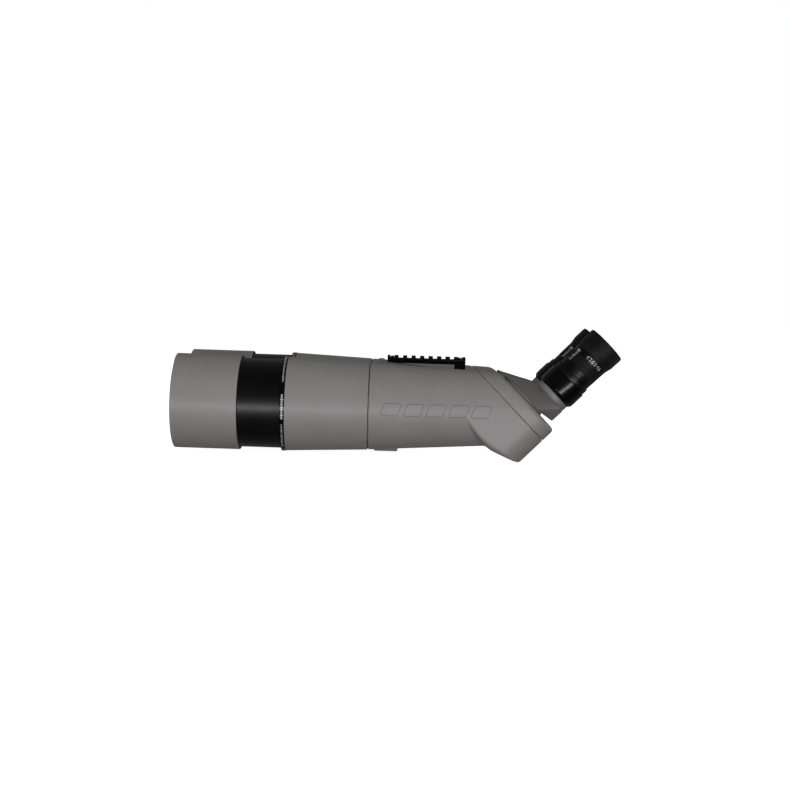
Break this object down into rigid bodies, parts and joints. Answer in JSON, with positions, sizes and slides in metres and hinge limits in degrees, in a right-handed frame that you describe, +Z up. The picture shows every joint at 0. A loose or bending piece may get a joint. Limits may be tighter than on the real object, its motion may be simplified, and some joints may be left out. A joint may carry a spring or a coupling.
{
  "type": "binocular telescope",
  "caption": "Large two-barrelled observing telescope with sliding dew shields, slanted eyepieces on swinging turrets, an accessory rail and a tripod foot.",
  "frame": {"origin": "mouth of the tripod socket, on the sole of the mounting foot, in the centre plane", "axes": "+X from the objectives towards the eyepieces along the barrels, +Z up, +Y to the user's right"},
  "size_m": [0.5054, 0.223, 0.1517],
  "materials": {
    "body_paint": "satin",
    "shield_paint": "satin",
    "turret_paint": "satin",
    "black_anodised": "satin",
    "ring_black": "gloss",
    "rail_black": "matte",
    "inner_black": "matte",
    "bright_screw": "brushed",
    "black_screw": "satin",
    "socket_steel": "brushed",
    "brass_nut": "satin",
    "lens_glass": "polished",
    "prism_glass": "polished",
    "eyepiece_black": "satin",
    "grip_rubber": "matte",
    "cup_rubber": "matte"
  },
  "bodies": {
    "main": {"main_body": "body_paint", "accessory_rail": "rail_black", "rail_screws": "bright_screw", "mounting_foot": "turret_paint", "tripod_bush": "socket_steel", "foot_screws": "black_screw", "objective_cell_left": "black_anodised", "objective_cell_right": "black_anodised", "trim_ring_left": "ring_black", "trim_ring_right": "ring_black", "lens_front_left": "lens_glass", "lens_front_right": "lens_glass", "lens_middle_left": "lens_glass", "lens_middle_right": "lens_glass", "lens_rear_left": "lens_glass", "lens_rear_right": "lens_glass", "lens_spacers_left": "inner_black", "lens_spacers_right": "inner_black", "lens_retainer_left": "inner_black", "lens_retainer_right": "inner_black", "front_tube_left": "body_paint", "front_tube_right": "body_paint", "tube_baffles_left": "inner_black", "tube_baffles_right": "inner_black", "rear_cover_left": "body_paint", "rear_cover_right": "body_paint", "cover_screws_left": "black_screw", "cover_screws_right": "black_screw", "roof_prism_left": "prism_glass", "roof_prism_right": "prism_glass", "prism_cradle_left": "inner_black", "prism_cradle_right": "inner_black"},
    "shield_left": {"dew_shield_left": "shield_paint"},
    "turret_left": {"turret_base_left": "turret_paint", "pivot_nut_left": "brass_nut", "rhomboid_prism_left": "prism_glass", "turret_housing_left": "turret_paint", "focus_collar_left": "turret_paint"},
    "focus_left": {"focus_ring_left": "ring_black"},
    "holder_left": {"eyepiece_holder_left": "black_anodised"},
    "lock_left": {"lock_ring_left": "ring_black"},
    "eyepiece_left": {"eyepiece_body_left": "eyepiece_black", "eyepiece_lenses_left": "lens_glass", "eyepiece_grip_left": "grip_rubber"},
    "cup_sleeve_left": {"eyecup_sleeve_left": "inner_black"},
    "cup_left": {"eyecup_left": "cup_rubber"},
    "shield_right": {"dew_shield_right": "shield_paint"},
    "turret_right": {"turret_base_right": "turret_paint", "pivot_nut_right": "brass_nut", "rhomboid_prism_right": "prism_glass", "turret_housing_right": "turret_paint", "focus_collar_right": "turret_paint"},
    "focus_right": {"focus_ring_right": "ring_black"},
    "holder_right": {"eyepiece_holder_right": "black_anodised"},
    "lock_right": {"lock_ring_right": "ring_black"},
    "eyepiece_right": {"eyepiece_body_right": "eyepiece_black", "eyepiece_lenses_right": "lens_glass", "eyepiece_grip_right": "grip_rubber"},
    "cup_sleeve_right": {"eyecup_sleeve_right": "inner_black"},
    "cup_right": {"eyecup_right": "cup_rubber"}
  },
  "joints": [
    {"name": "shield_slide_left", "type": "slide", "parent": "main", "child": "shield_left", "axis": [1, 0, 0], "range_m": [0, 0.045]},
    {"name": "turret_swing_left", "type": "hinge", "parent": "main", "child": "turret_left", "pos_m": [0.15285, -0.058, 0.07125], "axis": [0.7071, 0, 0.7071], "range_deg": [-10, 11]},
    {"name": "focus_turn_left", "type": "hinge", "parent": "turret_left", "child": "focus_left", "pos_m": [0.1877, -0.03253, 0.06893], "axis": [0.7071, 0, 0.7071], "range_deg": [0, 300]},
    {"name": "focus_travel_left", "type": "slide", "parent": "turret_left", "child": "holder_left", "axis": [0.7071, 0, 0.7071], "range_m": [0, 0.0079]},
    {"name": "lock_turn_left", "type": "hinge", "parent": "holder_left", "child": "lock_left", "pos_m": [0.1877, -0.03253, 0.06893], "axis": [0.7071, 0, 0.7071], "range_deg": [0, 60]},
    {"name": "eyepiece_pull_left", "type": "slide", "parent": "holder_left", "child": "eyepiece_left", "axis": [0.7071, 0, 0.7071], "range_m": [0, 0.032]},
    {"name": "cup_rise_left", "type": "slide", "parent": "eyepiece_left", "child": "cup_sleeve_left", "axis": [0.7071, 0, 0.7071], "range_m": [0, 0.0079]},
    {"name": "cup_twist_left", "type": "hinge", "parent": "cup_sleeve_left", "child": "cup_left", "pos_m": [0.1877, -0.03253, 0.06893], "axis": [0.7071, 0, 0.7071], "range_deg": [0, 120]},
    {"name": "shield_slide_right", "type": "slide", "parent": "main", "child": "shield_right", "axis": [1, 0, 0], "range_m": [0, 0.045]},
    {"name": "turret_swing_right", "type": "hinge", "parent": "main", "child": "turret_right", "pos_m": [0.15285, 0.058, 0.07125], "axis": [-0.7071, 0, -0.7071], "range_deg": [-10, 11]},
    {"name": "focus_turn_right", "type": "hinge", "parent": "turret_right", "child": "focus_right", "pos_m": [0.1877, 0.03253, 0.06893], "axis": [0.7071, 0, 0.7071], "range_deg": [0, 300]},
    {"name": "focus_travel_right", "type": "slide", "parent": "turret_right", "child": "holder_right", "axis": [0.7071, 0, 0.7071], "range_m": [0, 0.0079]},
    {"name": "lock_turn_right", "type": "hinge", "parent": "holder_right", "child": "lock_right", "pos_m": [0.1877, 0.03253, 0.06893], "axis": [0.7071, 0, 0.7071], "range_deg": [0, 60]},
    {"name": "eyepiece_pull_right", "type": "slide", "parent": "holder_right", "child": "eyepiece_right", "axis": [0.7071, 0, 0.7071], "range_m": [0, 0.032]},
    {"name": "cup_rise_right", "type": "slide", "parent": "eyepiece_right", "child": "cup_sleeve_right", "axis": [0.7071, 0, 0.7071], "range_m": [0, 0.0079]},
    {"name": "cup_twist_right", "type": "hinge", "parent": "cup_sleeve_right", "child": "cup_right", "pos_m": [0.1877, 0.03253, 0.06893], "axis": [0.7071, 0, 0.7071], "range_deg": [0, 120]}
  ],
  "couplings": [
    {"joint": "focus_turn_left", "follows": "focus_travel_left", "rad_per_m": 662.78},
    {"joint": "cup_twist_left", "follows": "cup_rise_left", "rad_per_m": 265.11},
    {"joint": "focus_turn_right", "follows": "focus_travel_right", "rad_per_m": 662.78},
    {"joint": "cup_twist_right", "follows": "cup_rise_right", "rad_per_m": 265.11}
  ]
}
